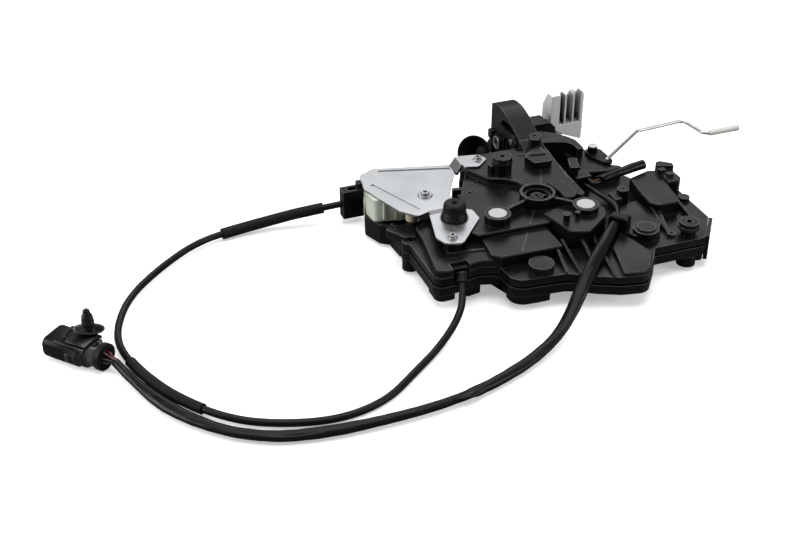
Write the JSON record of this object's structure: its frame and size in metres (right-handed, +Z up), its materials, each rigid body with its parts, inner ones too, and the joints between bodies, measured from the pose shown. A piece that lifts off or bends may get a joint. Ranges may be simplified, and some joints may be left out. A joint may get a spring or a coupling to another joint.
{
  "type": "car door lock",
  "caption": "Door lock module: moulded housing with a latch head, key socket, zinc release lever, steel bracket, lock rod, looped inner cable and a wiring tail with its connector.",
  "frame": {"origin": "centre of the mouth of the visible threaded fixing bush on the face of the latch head", "axes": "+X along the housing, away from the latch face and into the bush; +Y towards the latch head end; +Z up through the cover as the lock lies in the picture"},
  "size_m": [0.5571, 0.2857, 0.0642],
  "materials": {
    "black_plastic": "satin moulded black, fine grain",
    "dark_plastic": "matt black",
    "black_steel": "black coated steel",
    "zinc_steel": "bright galvanised sheet",
    "bright_steel": "plain bright steel",
    "cast_zinc": "cast zinc, satin",
    "nylon": "clear milky nylon",
    "beige_plastic": "smooth beige",
    "white_plastic": "smooth white",
    "rubber": "matt black rubber",
    "cable_black": "smooth black vinyl",
    "foam": "ribbed black foam",
    "wire_mix": "thin insulated wires",
    "white_ferrule": "pale knurled sleeve",
    "brass": "stamped contacts",
    "board_green": "coated circuit board"
  },
  "bodies": {
    "housing": {"lower_shell": "black_plastic", "upper_cover": "black_plastic", "sight_caps": "white_plastic", "latch_housing": "black_plastic", "latch_plate": "black_steel", "fixing_bushes": "bright_steel", "claw_pin": "bright_steel", "pawl_pin": "bright_steel", "pawl_spring": "bright_steel", "striker_buffer": "rubber", "guide_funnel": "rubber", "outside_lever_pin": "bright_steel", "outside_lever_spring": "bright_steel", "support_bracket": "zinc_steel", "bracket_screw_large": "zinc_steel", "bracket_screws": "zinc_steel", "rubber_buffer": "rubber", "cable_unit": "nylon", "cable_roller": "beige_plastic", "roller_post": "black_plastic", "cable_end_block": "black_plastic", "bowden_cable": "cable_black", "foam_sleeve_1": "foam", "foam_sleeve_2": "foam", "cable_gland": "dark_plastic", "harness_sleeve": "cable_black", "wire_bundle": "cable_black", "harness_clip": "black_plastic", "short_sleeve": "cable_black", "short_sleeve_wires": "wire_mix", "connector_body": "black_plastic", "connector_pins": "brass", "connector_seal": "rubber", "connector_wires": "wire_mix", "fir_tree_clip": "dark_plastic", "lock_lever_pin": "bright_steel", "inner_lever_pin": "bright_steel", "lock_motor": "bright_steel", "wheel_pin": "bright_steel", "circuit_board": "board_green", "board_posts": "black_plastic", "microswitches": "dark_plastic", "housing_screws": "bright_steel"},
    "claw": {"claw": "black_steel"},
    "pawl": {"pawl": "black_steel"},
    "outside_lever": {"outside_lever": "cast_zinc"},
    "lock_lever": {"lock_lever": "black_steel"},
    "lock_rod": {"lock_rod": "bright_steel", "rod_ferrule": "white_ferrule"},
    "key_tumbler": {"key_tumbler": "dark_plastic"},
    "inner_lever": {"inner_lever": "zinc_steel"},
    "worm_wheel": {"worm_wheel": "white_plastic"},
    "worm": {"worm": "brass", "motor_shaft": "bright_steel"}
  },
  "joints": [
    {"name": "claw_turn", "type": "hinge", "parent": "housing", "child": "claw", "pos_m": [0.0091, -0.0045, -0.012], "axis": [1, 0, 0], "range_deg": [-52, 0], "stiffness_Nm_per_rad": 0.02, "springref_deg": 28.65},
    {"name": "pawl_turn", "type": "hinge", "parent": "housing", "child": "pawl", "pos_m": [0.0091, -0.0215, 0.0105], "axis": [1, 0, 0], "range_deg": [0, 11], "stiffness_Nm_per_rad": 0.01, "springref_deg": -28.65},
    {"name": "outside_lever_turn", "type": "hinge", "parent": "housing", "child": "outside_lever", "pos_m": [0.063, 0.014, -0.0045], "axis": [1, 0, 0], "range_deg": [-16, 0], "stiffness_Nm_per_rad": 0.12, "springref_deg": 20.05},
    {"name": "lock_lever_turn", "type": "hinge", "parent": "housing", "child": "lock_lever", "pos_m": [0.06, -0.0475, 0.0045], "axis": [0, 0, 1], "range_deg": [-14, 14]},
    {"name": "rod_swivel", "type": "hinge", "parent": "lock_lever", "child": "lock_rod", "pos_m": [0.063, -0.0655, 0.0045], "axis": [0, 0, 1], "range_deg": [-15, 15]},
    {"name": "key_tumbler_turn", "type": "hinge", "parent": "housing", "child": "key_tumbler", "pos_m": [-0.0139, -0.1033, 0.0085], "axis": [0, 0, 1], "range_deg": [-70, 70], "stiffness_Nm_per_rad": 0.004},
    {"name": "inner_lever_turn", "type": "hinge", "parent": "housing", "child": "inner_lever", "pos_m": [-0.089, -0.0375, -0.023], "axis": [0, 0, 1], "range_deg": [0, 18], "stiffness_Nm_per_rad": 0.01, "springref_deg": -20.05},
    {"name": "worm_wheel_turn", "type": "hinge", "parent": "housing", "child": "worm_wheel", "pos_m": [0.057, -0.1335, -0.0235], "axis": [0, 0, 1], "range_deg": [-60, 60]},
    {"name": "worm_turn", "type": "hinge", "parent": "housing", "child": "worm", "pos_m": [0.0735, -0.1335, -0.0235], "axis": [0, 1, 0], "range_deg": [-1570, 1570]}
  ],
  "couplings": [
    {"joint": "rod_swivel", "follows": "lock_lever_turn", "ratio": -1},
    {"joint": "worm_turn", "follows": "worm_wheel_turn", "ratio": 26}
  ]
}
